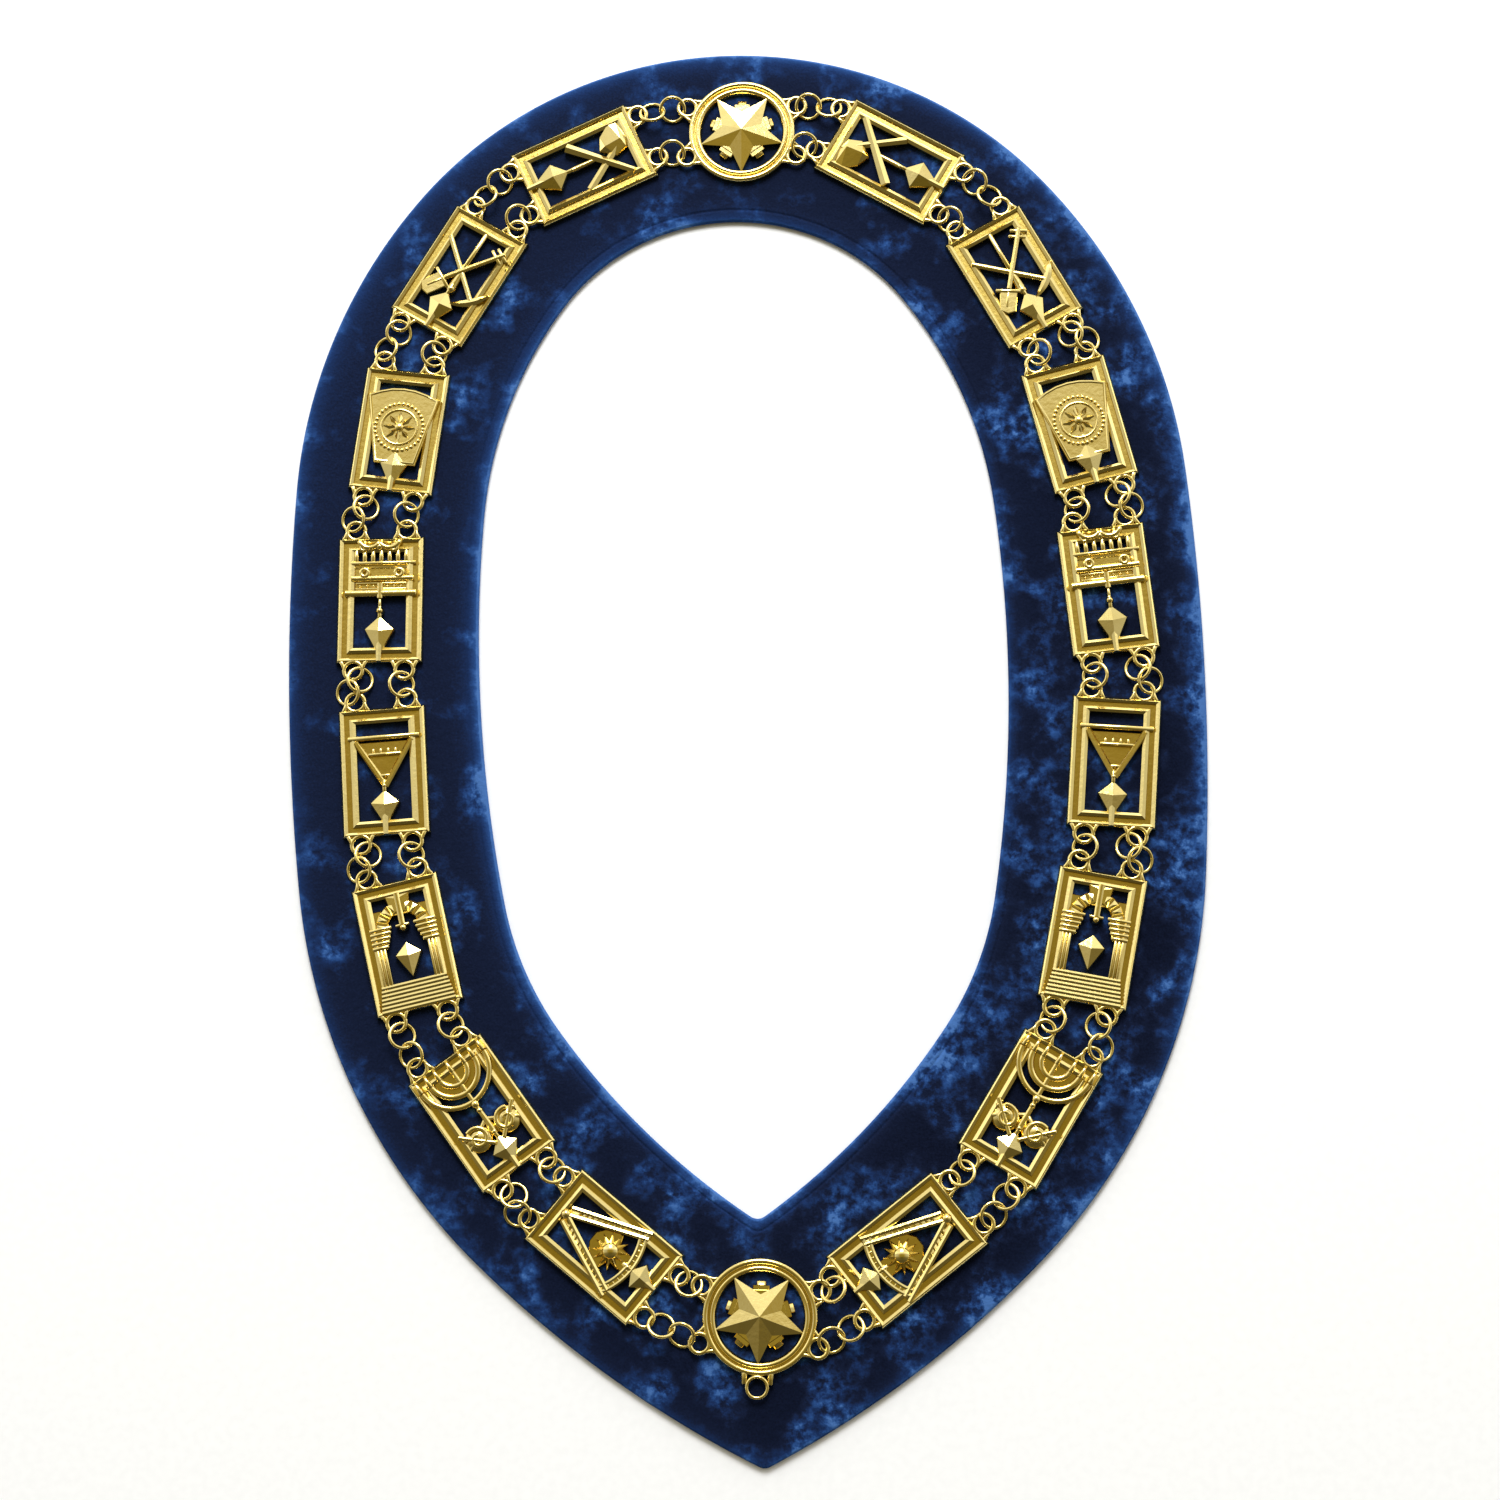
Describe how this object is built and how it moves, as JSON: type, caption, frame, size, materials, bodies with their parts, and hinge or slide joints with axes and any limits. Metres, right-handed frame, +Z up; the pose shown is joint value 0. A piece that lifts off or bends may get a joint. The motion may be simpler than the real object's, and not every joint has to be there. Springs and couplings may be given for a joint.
{
  "type": "chain of office on a velvet collar",
  "caption": "Ceremonial chain of office: pierced gilt plates and star medallions joined by pairs of jump rings, laid on a V-fronted velvet collar.",
  "frame": {"origin": "centre of the bounding box at the velvet's underside, where the collar rests", "axes": "+Z up from the surface it lies on, +Y toward the nape and -Y toward the pointed front, +X to the right seen from above"},
  "size_m": [0.3822, 0.598, 0.0104],
  "materials": {
    "navy_velvet": "crushed pile velvet, soft sheen",
    "gilt_brass": "bright gilt, polished faces with darker recesses"
  },
  "bodies": {
    "root": {"front_medallion": "gilt_brass", "jewel_ring": "gilt_brass", "left_inner_strand_1": "gilt_brass", "left_inner_strand_2": "gilt_brass", "left_inner_strand_3": "gilt_brass", "left_inner_strand_4": "gilt_brass", "left_inner_strand_5": "gilt_brass", "left_inner_strand_6": "gilt_brass", "left_inner_strand_7": "gilt_brass", "left_inner_strand_8": "gilt_brass", "left_inner_strand_9": "gilt_brass", "left_outer_strand_1": "gilt_brass", "left_outer_strand_2": "gilt_brass", "left_outer_strand_3": "gilt_brass", "left_outer_strand_4": "gilt_brass", "left_outer_strand_5": "gilt_brass", "left_outer_strand_6": "gilt_brass", "left_outer_strand_7": "gilt_brass", "left_outer_strand_8": "gilt_brass", "left_outer_strand_9": "gilt_brass", "left_plate_1_axe_and_baton": "gilt_brass", "left_plate_2_crow_pick_and_spade": "gilt_brass", "left_plate_3_keystone": "gilt_brass", "left_plate_4_ark": "gilt_brass", "left_plate_5_triangle": "gilt_brass", "left_plate_6_arch_and_columns": "gilt_brass", "left_plate_7_candlestick": "gilt_brass", "left_plate_8_compasses": "gilt_brass", "nape_medallion": "gilt_brass", "right_inner_strand_1": "gilt_brass", "right_inner_strand_2": "gilt_brass", "right_inner_strand_3": "gilt_brass", "right_inner_strand_4": "gilt_brass", "right_inner_strand_5": "gilt_brass", "right_inner_strand_6": "gilt_brass", "right_inner_strand_7": "gilt_brass", "right_inner_strand_8": "gilt_brass", "right_inner_strand_9": "gilt_brass", "right_outer_strand_1": "gilt_brass", "right_outer_strand_2": "gilt_brass", "right_outer_strand_3": "gilt_brass", "right_outer_strand_4": "gilt_brass", "right_outer_strand_5": "gilt_brass", "right_outer_strand_6": "gilt_brass", "right_outer_strand_7": "gilt_brass", "right_outer_strand_8": "gilt_brass", "right_outer_strand_9": "gilt_brass", "right_plate_1_axe_and_baton": "gilt_brass", "right_plate_2_crow_pick_and_spade": "gilt_brass", "right_plate_3_keystone": "gilt_brass", "right_plate_4_ark": "gilt_brass", "right_plate_5_triangle": "gilt_brass", "right_plate_6_arch_and_columns": "gilt_brass", "right_plate_7_candlestick": "gilt_brass", "right_plate_8_compasses": "gilt_brass", "velvet_backing": "navy_velvet"}
  },
  "joints": []
}
